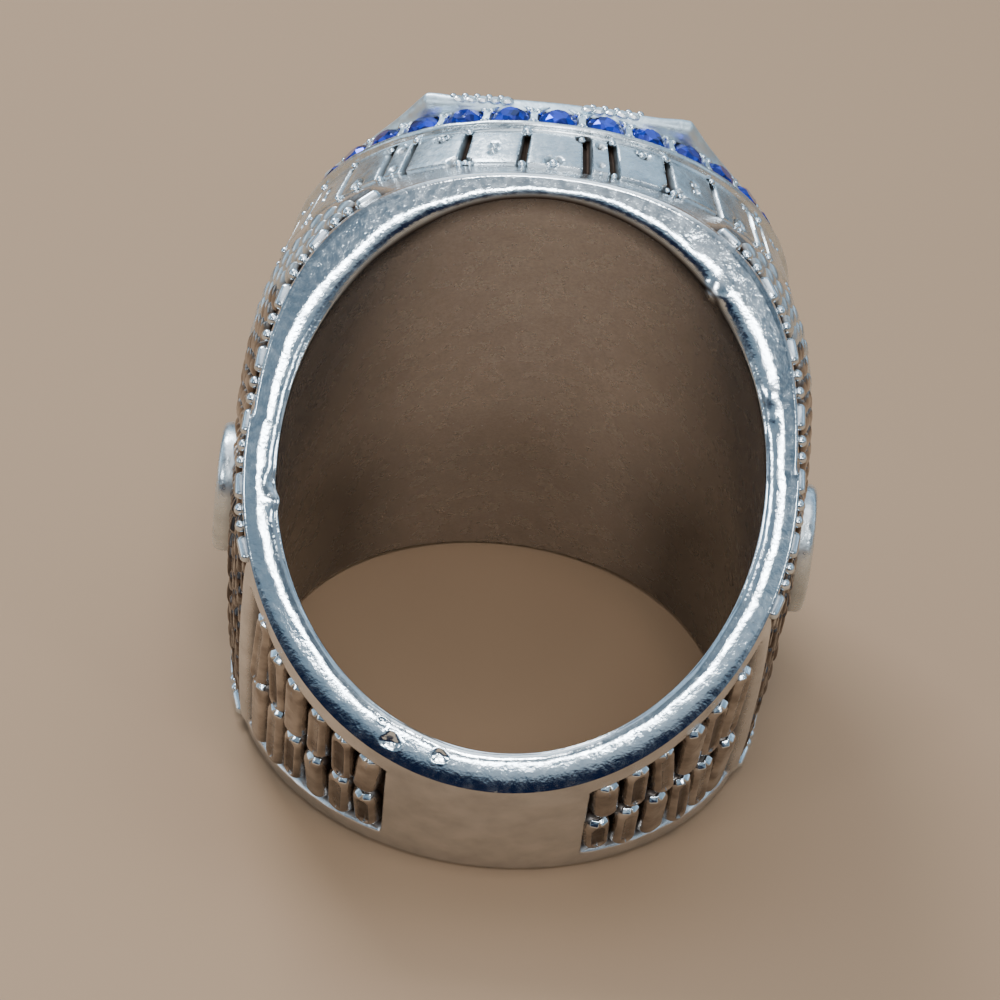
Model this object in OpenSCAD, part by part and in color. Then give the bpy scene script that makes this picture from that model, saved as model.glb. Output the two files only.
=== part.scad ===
/* [Finger hole] */
// Radius of the finger hole
bore_r = 10.3; // [9.8:0.05:10.5]

/* [Band] */
// Outer radius of the band at the middle of its width
band_r = 12.05; // [11.95:0.01:12.07]
// Half width of the ring along the finger, at the middle of the finger hole
half_w = 10.45; // [10.3:0.05:10.6]
// Angle of each side face to the middle plane
taper = 28.4; // [28:0.1:29]
// How far the band's middle stands out past its edges
band_crown = 0.3; // [0.1:0.01:0.32]

/* [Back panels] */
// Angle from the back of the band where each panel starts
panel_from = 22; // [20:1:24]
// Angle from the back of the band where each panel ends
panel_to = 66; // [65:1:68]
// Depth of each panel's floor
panel_depth = 0.5; // [0.3:0.05:0.6]
// Rail left between a panel and the side face
panel_rail = 1.1; // [0.9:0.05:1.3]
// Blocks along one row of a panel
panel_blocks = 5; // [4:1:5]

/* [Side plaques] */
// How far each side plaque reaches from the middle of the ring
plaque_out = 13.2; // [12.9:0.05:13.25]
// Half height of a side plaque
plaque_h = 2.7; // [2.3:0.1:3.3]
// Half width of a side plaque, along the finger
plaque_w = 3.4; // [3:0.1:5.6]
// Height of a plaque's centre above the middle of the finger hole
plaque_y = 3.4; // [2.2:0.1:3.6]

/* [Head] */
// Number of upright blocks round the wall of the head
wall_blocks = 40; // [36:2:42]
// Width of the gap between two blocks
wall_gap = 0.34; // [0.25:0.01:0.4]
// Depth of the gap between two blocks
wall_gap_depth = 0.45; // [0.3:0.05:0.5]

/* [Stones] */
// Number of blue stones round the head
stone_count = 36; // [36:1:36]
// Radius of a blue stone
stone_r = 0.84; // [0.75:0.01:0.86]
// Clearance between a stone and its seat
stone_gap = 0.03; // [0.02:0.01:0.05]
// Radius of the centre stone
centre_r = 4; // [3.6:0.1:4.1]
// Outer radius of the centre stone's collar
collar_r = 4.9; // [4.8:0.05:5.1]

/* [Hidden] */

N = 64;                         // points round each section of the head
slope = tan(taper);             // growth of the half width towards the head
lift = half_w * cos(taper);     // height of the middle of the hole over the surface it lies on
y_shift = -4.48;                // centres the lying ring over the origin

// Sections of the head from the middle of the hole up to the stones:
// height, half width across, half length along the finger, squareness
HEAD = [
    [0,     12.08, 30.4,  2.2],
    [2,     12.3,  27.9,  2.2],
    [4,     12.45, 25.4,  2.2],
    [6.5,   12.5,  22.2,  2.2],
    [8.5,   12.45, 19.7,  2.2],
    [10.5,  12.3,  17.2,  2.2],
    [12.5,  12,    14.7,  2.2],
    [15.2,  11.2,  13.5,  2.15],
    [15.25, 11.3,  13.6,  2.15],
    [15.6,  11.25, 13.55, 2.15],
    [15.65, 10.95, 13.2,  2.15],
    [16.9,  10.5,  12.55, 2.15]
];

// Eight-sided crown above the stones: height, how far inside its outer edge, share of the oval in its outline
CROWN = [
    [16.95, -0.1, 0.5],
    [17.45, 0,    0],
    [17.45, 0.5,  0],
    [17.2,  0.6,  0]
];
crown_x = 10.1;                 // half width across of the crown's top edge
crown_z = 12.5;                 // half length along the finger of the crown's top edge
crown_bow = 0.0165;             // how fast its ends curve back from the middle
crown_cut = 11.08;              // distance of its slanted sides from the centre
crown_nx = 0.8645;              // direction of the slanted sides
crown_nz = 0.5023;
plate_y = 18.5;                 // height of the plate round the collar
collar_y = 19.3;                // top of the collar
row_y = 16.16;                 // height of the blue stones' girdles
row_x = 10.63;                  // half width of the row of blue stones
row_z = 12.8;                   // half length of the row of blue stones
row_tilt = 27;                  // angle by which the blue stones look up

function spow(v, e) = (v < 0 ? -1 : 1) * pow(abs(v), e);
function oval(a, b, n, t) = [a * spow(cos(t), 2 / n), b * spow(sin(t), 2 / n)];
function end_reach(c, s, inset) =
    let (x = (crown_z - inset) / s * c) (crown_z - inset - crown_bow * x * x) / s;
function crown_reach(t, inset) =
    let (c = abs(cos(t)), s = abs(sin(t)))
    min((crown_x - inset) / max(c, 0.001), s > 0.7 ? end_reach(c, s, inset) : 99,
        (crown_cut - inset) / (crown_nx * c + crown_nz * s));
function oval_reach(a, b, n, t) =
    pow(pow(abs(cos(t)) / a, n) + pow(abs(sin(t)) / b, n), -1 / n);
function crown_point(t, y, inset, share) =
    let (r = crown_reach(t, inset) * (1 - share) + oval_reach(10.5, 12.55, 2.15, t) * share)
    [r * cos(t), y, r * sin(t)];
function half_at(y) = half_w + slope * y;

// Point and outward direction of the row of blue stones at turn t, from even steps along it
STEPS = 720;
function row_raw(k) = oval(row_x, row_z, 2.15, 360 * k / STEPS);
row_len = [for (k = 0, s = 0; k <= STEPS; s = s + norm(row_raw(k + 1) - row_raw(k)), k = k + 1) s];
row_total = row_len[STEPS];
function row_find(d, lo, hi) =
    hi - lo <= 1 ? lo + (d - row_len[lo]) / (row_len[hi] - row_len[lo])
    : let (m = floor((lo + hi) / 2)) row_len[m] <= d ? row_find(d, m, hi) : row_find(d, lo, m);
function row_step(d) = row_find(d, 0, STEPS);
function row_dir(k) =
    let (p = row_raw(k - 1), q = row_raw(k + 1)) atan2(p[0] - q[0], q[1] - p[1]);

// Closed skin through rings of points, with flat ends
module skin(rings) {
    n = len(rings[0]);
    m = len(rings);
    polyhedron(
        points = [for (r = rings) for (p = r) p],
        faces = concat(
            [[for (i = [n - 1 : -1 : 0]) i]],
            [for (j = [0 : m - 2]) for (i = [0 : n - 1])
                let (a = j * n + i, b = j * n + (i + 1) % n) [a, b + n, a + n]],
            [for (j = [0 : m - 2]) for (i = [0 : n - 1])
                let (a = j * n + i, b = j * n + (i + 1) % n) [a, b, b + n]],
            [[for (i = [0 : n - 1]) (m - 1) * n + i]]
        )
    );
}

// The ring as it lies on its side
module lying() {
    translate([0, y_shift, lift]) rotate([taper, 0, 0]) children();
}

// Space between the two side faces, moved in by a rail
module between_sides(inset = 0) {
    rotate([90, 0, 90])
        linear_extrude(height = 40, center = true)
            polygon([[-14, half_at(-14) - inset], [-14, inset - half_at(-14)],
                     [24, inset - half_at(24)], [24, half_at(24) - inset]]);
}

// Turned band with a slightly rounded outside
module band_form() {
    translate([0, 0.15, 0])
        rotate_extrude($fn = 180)
            polygon(concat([[9.4, -11], [9.4, 11]],
                [for (z = [11 : -2 : -11]) [band_r - band_crown * z * z / 100, z]]));
}

// Head and shoulders, up to the plate that carries the clear stones
module head_form() {
    skin(concat(
        [for (h = HEAD) [for (i = [0 : N - 1])
            let (p = oval(h[1], h[2], h[3], 360 * i / N)) [p[0], h[0], p[1]]]],
        [for (c = CROWN) [for (i = [0 : N - 1])
            crown_point(360 * i / N, c[0], c[1], c[2])]],
        [[for (i = [0 : N - 1]) [(collar_r + 0.2) * cos(360 * i / N), plate_y,
                                 (collar_r + 0.2) * sin(360 * i / N)]]]
    ));
}

// Gaps that part the wall of the head into upright blocks
module wall_gaps() {
    for (i = [0 : wall_blocks - 1]) {
        k = row_step((i + 0.5) * row_total / wall_blocks);
        p = row_raw(k);
        d = row_dir(k);
        translate([p[0] * 1.09, 13.85, p[1] * 1.106])
            rotate([0, -d, 0]) rotate([0, 0, 16.5 + 7.5 * abs(sin(d))])
                translate([0.6 - wall_gap_depth, 0, 0])
                    cube([1.2, 2.4, wall_gap], center = true);
    }
}

// Round seat of one blue stone
module stone_place(i) {
    k = row_step((i - 1) * row_total / stone_count);
    p = row_raw(k);
    translate([p[0], row_y, p[1]])
        rotate([0, -row_dir(k), 0])
            rotate([0, 0, row_tilt])
                rotate([0, 90, 0])
                    children();
}

// Sunk floor of one back panel
module panel_space(side) {
    intersection() {
        translate([0, 0.15, 0])
            rotate([0, 0, side > 0 ? -90 + panel_from : -90 - panel_to])
                rotate_extrude(angle = panel_to - panel_from, $fn = 180)
                    polygon([[band_r - panel_depth - 0.1, -10], [14, -10],
                             [14, 10], [band_r - panel_depth - 0.1, 10]]);
        between_sides(panel_rail);
    }
}

// Two rows of raised blocks in one back panel
module panel_studs(side) {
    pitch = (panel_to - panel_from - 4) / panel_blocks;
    for (i = [0 : panel_blocks - 1]) {
        phi = panel_from + 2 + pitch * (i + 0.5);
        reach = half_at(-12 * cos(phi)) - panel_rail - 0.3;
        for (row = [-1, 1])
            translate([0, 0.15, 0])
                rotate([0, 0, -90 + side * phi])
                    translate([band_r - 0.55, 0, row * (reach / 2 + 0.06)])
                        cube([0.9, 1.5, reach - 0.28], center = true);
    }
}

// Oval plaque on each side of the ring
module plaque_form(side) {
    rotate([0, 90 * side, 0])
        translate([0, 0, 11])
            linear_extrude(height = plaque_out - 11)
                polygon([for (i = [0 : 31])
                    [plaque_w * cos(i * 11.25), plaque_y + plaque_h * sin(i * 11.25)]]);
}

// Stone with a flat table, a thin girdle and a pointed back, looking along +Z
module cut_stone(r, sides) {
    table = 0.56 * r;
    crown = 0.3 * r;
    belt = 0.05 * r;
    back = 0.78 * r;
    skin([
        [for (i = [0 : sides - 1]) [0.02 * r * cos(-i * 360 / sides), 0.02 * r * sin(-i * 360 / sides), -belt - back]],
        [for (i = [0 : sides - 1]) [r * cos(-i * 360 / sides), r * sin(-i * 360 / sides), -belt]],
        [for (i = [0 : sides - 1]) [r * cos(-i * 360 / sides), r * sin(-i * 360 / sides), 0]],
        [for (i = [0 : sides - 1]) [table * cos(-(i + 0.5) * 360 / sides), table * sin(-(i + 0.5) * 360 / sides), crown]]
    ]);
}

module ring_body() {
    color("silver") lying() {
        difference() {
            intersection() {
                union() {
                    band_form();
                    difference() {
                        head_form();
                        wall_gaps();
                        for (i = [1 : stone_count])
                            stone_place(i) translate([0, 0, -0.95])
                                cylinder(h = 1.55, r = stone_r + stone_gap, $fn = 32);
                    }
                    translate([0, 16, 0]) rotate([-90, 0, 0])
                        cylinder(h = collar_y - 16, r = collar_r, $fn = 64);
                    plaque_form(1);
                    plaque_form(-1);
                }
                between_sides();
            }
            translate([0, 0, -25]) cylinder(h = 50, r = bore_r, $fn = 180);
            translate([0, collar_y - 1.5, 0]) rotate([-90, 0, 0])
                cylinder(h = 4, r = centre_r + stone_gap, $fn = 64);
            translate([0, collar_y - 4.4, 0]) rotate([-90, 0, 0])
                cylinder(h = 4, r = centre_r * 0.72, $fn = 64);
            panel_space(1);
            panel_space(-1);
        }
        difference() {
            union() {
                panel_studs(1);
                panel_studs(-1);
            }
            translate([0, 0, -25]) cylinder(h = 50, r = bore_r, $fn = 180);
        }
    }
}

module centre_stone() {
    color("white") lying()
        translate([0, collar_y - 0.35, 0]) rotate([-90, 0, 0]) cut_stone(centre_r, 16);
}

module blue_stone(i) {
    color("royalblue") lying() stone_place(i) cut_stone(stone_r, 10);
}

ring_body();
centre_stone();
for (i = [1 : stone_count])
    blue_stone(i);
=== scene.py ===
import math
import bpy
import numpy as np
from mathutils import Matrix, Vector

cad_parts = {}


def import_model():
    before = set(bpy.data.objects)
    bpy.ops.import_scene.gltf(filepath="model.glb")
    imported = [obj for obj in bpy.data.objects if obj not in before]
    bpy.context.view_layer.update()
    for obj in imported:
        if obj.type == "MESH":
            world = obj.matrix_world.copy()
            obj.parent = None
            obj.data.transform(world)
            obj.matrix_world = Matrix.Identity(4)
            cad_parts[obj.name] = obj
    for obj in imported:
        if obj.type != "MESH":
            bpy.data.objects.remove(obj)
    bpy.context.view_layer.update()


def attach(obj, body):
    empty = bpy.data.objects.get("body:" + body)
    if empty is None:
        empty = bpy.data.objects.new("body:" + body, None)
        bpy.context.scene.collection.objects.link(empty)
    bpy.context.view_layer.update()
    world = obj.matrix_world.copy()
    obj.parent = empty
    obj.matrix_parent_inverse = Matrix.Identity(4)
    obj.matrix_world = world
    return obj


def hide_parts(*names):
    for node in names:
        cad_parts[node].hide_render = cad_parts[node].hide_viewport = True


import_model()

RNG = np.random.default_rng(11)

# ------------------------------------------------------------------ sizes, in millimetres, in the ring's own frame:
# X across the finger hole, Y from the back of the band to the head, Z along the finger
TAPER = math.radians(28.4)
SLOPE = math.tan(TAPER)
HALF_W = 10.45
BORE = 10.3
BAND = 12.05
CROWN_FALL = 0.3
LIFT = HALF_W * math.cos(TAPER)
SHIFT = -4.48
PANEL_FROM, PANEL_TO, PANEL_DEPTH = 22.0, 66.0, 0.5
RAIL_UP, RAIL_LO = 1.3, 1.2
ROW_X, ROW_Y, ROW_Z, ROW_TILT = 10.63, 16.16, 12.8, math.radians(27)
STONE_R, STONES, BLOCKS = 0.84, 36, 40
COLLAR_R, COLLAR_Y, CENTRE_R, PLATE_Y = 4.9, 19.3, 4.0, 18.5
CAP_Y = 12.62


def world(P):
    """Ring frame in millimetres to the row frame in metres."""
    P = np.asarray(P, float)
    c, s = math.cos(TAPER), math.sin(TAPER)
    x, y, z = P[..., 0], P[..., 1], P[..., 2]
    return np.stack([x, SHIFT + y * c - z * s, LIFT + y * s + z * c], -1) / 1000.0


def smooth(a, b, x):
    t = np.clip((np.asarray(x, float) - a) / (b - a), 0, 1)
    return t * t * (3 - 2 * t)


def value_noise(p, seed=0):
    """Smooth noise in -1..1 at points p (..., 3), one lump per unit."""
    p = np.asarray(p, float)
    i = np.floor(p).astype(np.int64)
    f = p - i
    f = f * f * (3 - 2 * f)

    def h(ix, iy, iz):
        n = (ix * 73856093) ^ (iy * 19349663) ^ (iz * 83492791) ^ (seed * 2654435761)
        n = (n ^ (n >> 13)) * 1274126177 & 0x7FFFFFFF
        n = (n ^ (n >> 15)) * 2246822519 & 0x7FFFFFFF
        return n / 0x7FFFFFFF * 2 - 1
    out = 0
    for dx in (0, 1):
        for dy in (0, 1):
            for dz in (0, 1):
                w = (f[..., 0] if dx else 1 - f[..., 0]) * (f[..., 1] if dy else 1 - f[..., 1]) \
                    * (f[..., 2] if dz else 1 - f[..., 2])
                out = out + w * h(i[..., 0] + dx, i[..., 1] + dy, i[..., 2] + dz)
    return out


# ------------------------------------------------------------------ meshes
PIECES = []


def make(name, V, faces, material, slot, replaces=(), smooth_angle=None, flat=False, darkening=None, in_world=False):
    """One visible piece from ring-frame points in millimetres and a list of face index arrays."""
    co = (np.asarray(V, float) if in_world else world(V)).reshape(-1, 3)
    faces = [np.asarray(f) for f in faces if len(f)]
    loops = np.concatenate([f.reshape(-1) for f in faces]).astype(np.int32)
    sizes = np.concatenate([np.full(len(f), f.shape[1], np.int32) for f in faces])
    starts = np.concatenate([[0], np.cumsum(sizes)[:-1]]).astype(np.int32)
    me = bpy.data.meshes.new(name)
    me.vertices.add(len(co))
    me.vertices.foreach_set("co", co.astype(np.float32).reshape(-1))
    me.loops.add(len(loops))
    me.loops.foreach_set("vertex_index", loops)
    me.polygons.add(len(sizes))
    me.polygons.foreach_set("loop_start", starts)
    me.polygons.foreach_set("loop_total", sizes)
    me.update(calc_edges=True)
    me.validate()
    me.polygons.foreach_set("use_smooth", np.full(len(me.polygons), not flat))
    # darkening: per point share of the dark colour, mostly painted shade in recesses, creases and gaps
    if darkening is not None:
        at = me.attributes.new("residue_and_shade", "FLOAT", "POINT")
        at.data.foreach_set("value", np.asarray(darkening, np.float32).reshape(-1))
    if smooth_angle is not None and not flat:
        me.set_sharp_from_angle(angle=math.radians(smooth_angle))
    ob = bpy.data.objects.new(name, me)
    bpy.context.scene.collection.objects.link(ob)
    me.materials.append(material)
    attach(ob, "root")
    if replaces:
        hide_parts(*replaces)
    PIECES.append(ob)
    return ob


def grid_faces(rows, cols, closed=True, flip=False):
    """Quads of a rows x cols grid of points; closed joins the last column to the first."""
    r = np.arange(rows - 1)[:, None]
    c = np.arange(cols if closed else cols - 1)[None, :]
    c2 = (c + 1) % cols
    q = np.stack([r * cols + c, r * cols + c2, (r + 1) * cols + c2, (r + 1) * cols + c], -1).reshape(-1, 4)
    return q[:, ::-1] if flip else q


class Heap:
    """Collects many small meshes into one."""

    def __init__(self):
        self.V, self.F, self.D, self.n = [], {}, [], 0

    def add(self, V, faces, darkening=None):
        V = np.asarray(V, float).reshape(-1, 3)
        self.V.append(V)
        self.D.append(np.zeros(len(V)) if darkening is None else np.asarray(darkening, float).reshape(-1))
        for f in faces:
            f = np.asarray(f)
            if len(f):
                self.F.setdefault(f.shape[1], []).append(f + self.n)
        self.n += len(V)

    def done(self, name, material, slot, **kw):
        if not self.n:
            return None
        return make(name, np.vstack(self.V), [np.vstack(v) for v in self.F.values()], material, slot,
                    darkening=np.concatenate(self.D), **kw)


def ico(level=1):
    """Unit sphere from an icosahedron."""
    t = (1 + 5 ** 0.5) / 2
    v = [(-1, t, 0), (1, t, 0), (-1, -t, 0), (1, -t, 0), (0, -1, t), (0, 1, t), (0, -1, -t), (0, 1, -t),
         (t, 0, -1), (t, 0, 1), (-t, 0, -1), (-t, 0, 1)]
    f = [(0, 11, 5), (0, 5, 1), (0, 1, 7), (0, 7, 10), (0, 10, 11), (1, 5, 9), (5, 11, 4), (11, 10, 2), (10, 7, 6),
         (7, 1, 8), (3, 9, 4), (3, 4, 2), (3, 2, 6), (3, 6, 8), (3, 8, 9), (4, 9, 5), (2, 4, 11), (6, 2, 10),
         (8, 6, 7), (9, 8, 1)]
    v = [np.array(p, float) / np.linalg.norm(p) for p in v]
    for _ in range(level):
        cache, nf = {}, []

        def mid(a, b):
            k = (min(a, b), max(a, b))
            if k not in cache:
                m = v[a] + v[b]
                v.append(m / np.linalg.norm(m))
                cache[k] = len(v) - 1
            return cache[k]
        for a, b, c in f:
            ab, bc, ca = mid(a, b), mid(b, c), mid(c, a)
            nf += [(a, ab, ca), (b, bc, ab), (c, ca, bc), (ab, bc, ca)]
        f = nf
    return np.array(v), np.array(f)


BALL1, BALL2 = ico(1), ico(2)


def bead(heap, p, r, n=None, squash=1.0, fine=False):
    V, F = BALL2 if fine else BALL1
    V = V.copy()
    if n is not None and squash != 1.0:
        n = np.asarray(n, float) / np.linalg.norm(n)
        d = V @ n
        V = V + np.outer(d * (squash - 1), n)
    heap.add(V * r + np.asarray(p, float), [F])


def axes_from(n, up):
    """Right, up and outward unit vectors of a place with outward direction n."""
    n = np.asarray(n, float) / np.linalg.norm(n)
    u = np.asarray(up, float) - n * np.dot(up, n)
    u = u / np.linalg.norm(u)
    return np.cross(u, n), u, n


def button(heap, p, right, up, out, outline, levels, darkening=None, centre_dip=0.0):
    """Raised pad: outline(k) gives a closed ring of local points at scale (shrink x, shrink y) by inset k mm;
    levels are (inset, height)."""
    rings = [outline(i) for i, h in levels]
    n = len(rings[0])
    V = [np.column_stack([r, np.full(n, h)]) for r, (i, h) in zip(rings, levels)]
    V.append(np.array([[0, 0, levels[-1][1] - centre_dip]]))
    V = np.vstack(V)
    W = p + V[:, :1] * right + V[:, 1:2] * up + V[:, 2:] * out
    c = len(V) - 1
    last = (len(levels) - 1) * n
    i = np.arange(n)
    fan = np.stack([last + i, last + (i + 1) % n, np.full(n, c)], -1)
    # painted shade: unless told otherwise the pad is darker at its foot, where it meets the surface, and in the dips on
    # its top
    if darkening is None:
        hs = [h for _, h in levels]
        hi = max(hs)
        k = hs.index(hi)
        d = [float(np.clip(1.15 - 1.5 * (h - hs[0]) / (hi - hs[0] + 1e-6), 0, 1)) if q < k else float(np.clip((hi - h) * 4.5 - 0.1, 0, 0.8))
             for q, h in enumerate(hs)]
        dd = np.concatenate([np.repeat(d, n), [d[-1]]])
    else:
        dd = np.full(len(V), darkening)
    heap.add(W, [grid_faces(len(levels), n), fan], dd)


def rounded_rect(w, h, rad, n=40, wob=0.0, skew=0.0):
    """Outline with half sizes w and h and corner radius rad; outline(k) is k mm further in."""
    def ring(k):
        a, b, r = max(w - k, 0.02), max(h - k, 0.02), max(min(rad, w, h) - k * 0.7, 0.01)
        r = min(r, a, b)
        pts = []
        m = n // 4
        for q, (cx, cy) in enumerate([(a - r, b - r), (-a + r, b - r), (-a + r, -b + r), (a - r, -b + r)]):
            for j in range(m):
                t = math.radians(90 * q + 90 * j / (m - 1))
                pts.append((cx + r * math.cos(t), cy + r * math.sin(t)))
        pts = np.array(pts)
        if skew:
            pts[:, 0] += skew * pts[:, 1]
        return pts
    return ring


def oval_outline(a, b, n=32, power=2.0):
    def ring(k):
        t = np.linspace(0, 2 * np.pi, n, endpoint=False)
        A, B = max(a - k, 0.01), max(b - k, 0.01)
        c, s = np.cos(t), np.sin(t)
        return np.column_stack([A * np.sign(c) * np.abs(c) ** (2 / power), B * np.sign(s) * np.abs(s) ** (2 / power)])
    return ring


def leaf_outline(length, width, n=28):
    """Pointed leaf along its up direction."""
    def ring(k):
        t = np.linspace(0, 2 * np.pi, n, endpoint=False)
        L, Wd = max(length / 2 - k * 1.6, 0.01), max(width / 2 - k, 0.01)
        y = np.sin(t)
        x = np.cos(t) * (1 - np.abs(y) ** 1.6) ** 0.5
        return np.column_stack([x * Wd, y * L])
    return ring


# ------------------------------------------------------------------ the metal's forms
_y = np.array([0, 2, 4, 6.5, 8.5, 10.5, 12.5])
HALF_X = np.polyfit(_y, [12.08, 12.3, 12.45, 12.5, 12.45, 12.3, 12.0], 3)


def head_r(th, z):
    """Distance from the finger's axis to the head's outside along direction th at z."""
    lo, hi = np.full(np.broadcast(th, z).shape, 8.0), np.full(np.broadcast(th, z).shape, 22.0)
    c, s = np.abs(np.cos(th)), np.sin(th)
    for _ in range(34):
        m = (lo + hi) / 2
        y = m * s
        a = np.maximum(np.polyval(HALF_X, np.clip(y, -6, 13.2)), 1)
        b = np.maximum(30.4 - 1.255 * y, 0.5)
        f = (m * c / a) ** 2.2 + (np.abs(z) / b) ** 2.2 - 1
        lo, hi = np.where(f < 0, m, lo), np.where(f < 0, hi, m)
    return (lo + hi) / 2


def band_r(th, z):
    R = BAND - CROWN_FALL * z * z / 100
    c, s = np.cos(th), np.sin(th)
    return 0.15 * s + np.sqrt(np.maximum(R * R - (0.15 * c) ** 2, 1))


def outer_r(th, z):
    s = np.sin(th)
    right = np.where(np.cos(th) >= 0, 0.0, np.pi)
    a = np.where(s >= 0, head_r(th, z), head_r(right + 0 * z, z) + 1.3 * np.minimum(s, 0))
    b = band_r(th, z) - 3.0 * smooth(10.95, 11.3, np.abs(z))
    r = 0.5 * (a + b + np.sqrt((a - b) ** 2 + 0.02))
    return np.minimum(r, CAP_Y / np.maximum(s, 1e-3) * (s > 0.3) + 99 * (s <= 0.3))


def edge_z(th):
    """Half length along the finger where the outside meets the side face, for each direction."""
    k = SLOPE * np.sin(th)
    lo, hi = np.zeros_like(th) + 2.0, np.zeros_like(th) + 22.0
    for _ in range(40):
        m = (lo + hi) / 2
        f = HALF_W + k * outer_r(th, m) - m
        lo, hi = np.where(f > 0, m, lo), np.where(f > 0, hi, m)
    return (lo + hi) / 2


def point(th, r, z):
    return np.stack([r * np.cos(th), r * np.sin(th), z + 0 * r], -1)


COLS = 720
TH = np.arange(COLS) / COLS * 2 * np.pi
ZE = edge_z(TH)
RE = outer_r(TH, ZE)
K = SLOPE * np.sin(TH)
WIDTH = RE - BORE
# how rounded the outer edge is: soft at the back and sides, crisp along the head
HEADNESS = smooth(0.35, 0.75, np.sin(TH))
BACKNESS = smooth(0.30, 0.80, -np.sin(TH))
EDGE = (0.06 + 0.06 * HEADNESS + 0.46 * BACKNESS) * WIDTH
LIP_SIDE = (0.60 - 0.16 * HEADNESS - 0.20 * BACKNESS) * WIDTH
LIP_BORE = np.minimum(0.50, 0.32 * WIDTH)


def bump_at(deg, width, amount):
    d = (np.degrees(TH) - deg + 180) % 360 - 180
    return amount * np.exp(-(d / width) ** 2)


# wavy casting: the lip wanders a little, with a few steps
WANDER = 0.05 * value_noise(np.stack([TH * 5, 0 * TH, 0 * TH], -1), 3) \
    + 0.035 * value_noise(np.stack([TH * 13, 0 * TH + 5, 0 * TH], -1), 4)
WANDER = WANDER * smooth(0, 0.2, TH) * smooth(0, 0.2, 2 * np.pi - TH)


def mix(a, b, t):
    return a * (1 - t) + b * t


def bezier(P0, P1, P2, t):
    return (1 - t) ** 2 * P0 + 2 * t * (1 - t) * P1 + t * t * P2


def rim_rows(side, wander):
    """Rows of points from the finger hole over the lip and the side face to the outside, for one side."""
    c, s = np.cos(TH), np.sin(TH)
    ls, lb = LIP_SIDE + wander * 1.3 * np.minimum(WIDTH / 1.75, 1), LIP_BORE + wander
    zc = HALF_W + K * BORE
    rows = []

    def rz(r, z):
        return np.stack([r * c, r * s, side * z], -1)
    P0 = (BORE + 0 * TH, zc - lb)
    P1 = (BORE + 0 * TH, zc)
    P2 = (BORE + ls, HALF_W + K * (BORE + ls))
    for t in np.concatenate([[0, .05, .10, .15, .20, .25, .30, .34, .38, .42, .46, .50], np.linspace(.56, 1, 9)]):
        w = t
        rows.append(rz(bezier(P0[0], P1[0], P2[0], w), bezier(P0[1], P1[1], P2[1], w)))
    land = (1 - HEADNESS) * 0.85
    for i, row in enumerate(rows):
        r = np.hypot(row[:, 0], row[:, 1]) - BORE
        low = zc + K * r - side * row[:, 2]              # how far this row lies under the side face
        aim = 0.17 + 0.16 * (1 - np.clip(r / 0.15, 0, 1)) ** 6 + 0.03 * np.clip((0.15 - r) / 0.15, 0, 1)
        lift_ = np.where(r < 0.24, np.clip(low - aim, 0, None) * (1 - smooth(0.16, 0.24, r)), 0) * land
        row[:, 2] += side * lift_ * (1 if i > 0 else 0)
    r0, r1 = BORE + ls, RE - EDGE
    fall = 0.135 * (1 - HEADNESS) * (1 - BACKNESS) + 0.075 * HEADNESS      # the face slopes outwards a little
    for t in np.linspace(0, 1, 9)[1:]:
        r = mix(r0, r1, t)
        rows.append(rz(r, HALF_W + K * r - fall * (r - r0)))
    # the face rounds down to a crisp outer edge
    drop = 0.03 + 0.105 * BACKNESS + fall * (RE - r0)
    Q0 = (r1, HALF_W + K * r1 - fall * (r1 - r0))
    rm = mix(r1, RE, 0.5)
    Q1 = (rm, HALF_W + K * rm - fall * (rm - r0))
    Q2 = (outer_r(TH, ZE - drop), ZE - drop)
    for t in np.linspace(0, 1, 11)[1:]:
        rows.append(rz(bezier(Q0[0], Q1[0], Q2[0], t), bezier(Q0[1], Q1[1], Q2[1], t)))
    return np.array(rows), zc - lb, drop


def flaws(P):
    """Nubs, steps and chips that the casting left on the upper rim."""
    P = P.copy()

    def push(centre, radius, vec, power=2.0):
        d = np.linalg.norm(P - np.array(centre), axis=-1)
        w = np.exp(-(d / radius) ** power)
        P[...] = P + w[..., None] * np.array(vec)
    up = np.array([0, -math.sin(TAPER), math.cos(TAPER)])
    push((7.28, 7.45, 14.4), 0.42, (-0.20, -0.20, 0.10))
    push((-10.28, -1.96, 9.3), 0.35, (0.16, 0.02, 0.06))
    push((-10.35, -1.2, 9.6), 0.4, (-0.05, 0.0, -0.10))
    push((10.41, 2.8, 11.8), 0.28, (0.04, 0.0, -0.035))
    push((10.2, 3.9, 12.4), 0.35, (-0.08, 0.0, 0.05))
    push((6.2, 9.2, 15.4), 0.4, (-0.05, -0.08, -0.05))
    for deg, r, spin, size, deep in ((247.4, 11.26, 20, 0.44, 0.36), (258.6, 10.98, 250, 0.37, 0.34), (243.9, 10.75, 80, 0.17, 0.36)):
        th = math.radians(deg)
        rad = np.array([math.cos(th), math.sin(th), SLOPE * math.sin(th)])
        rad /= np.linalg.norm(rad)
        tan = np.cross(up, rad)
        C = np.array([r * math.cos(th), r * math.sin(th), HALF_W + SLOPE * r * math.sin(th)])
        d = P - C
        x, y, h = d @ tan, d @ rad, d @ up
        turn = np.arctan2(y, x) - math.radians(spin)
        e = size * (1 + 0.13 * np.cos(3 * turn)) - np.hypot(x, 1.25 * y)
        cut = np.where(np.abs(h) < 1.0, np.clip(e, 0, 0.62 * size) * (1 + 0.3 * np.cos(turn)), 0) * deep
        rim = np.where(np.abs(h) < 1.0, 0.020 * np.exp(-((e + 0.03) / 0.05) ** 2), 0)
        P[...] = P + (rim - cut)[..., None] * up
    return P


# ------------------------------------------------------------------ materials
def nodes_of(name):
    m = bpy.data.materials.new(name)
    m.use_nodes = True
    nt = m.node_tree
    b = nt.nodes["Principled BSDF"]
    return m, nt, b


def link(nt, a, b):
    nt.links.new(a, b)


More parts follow.
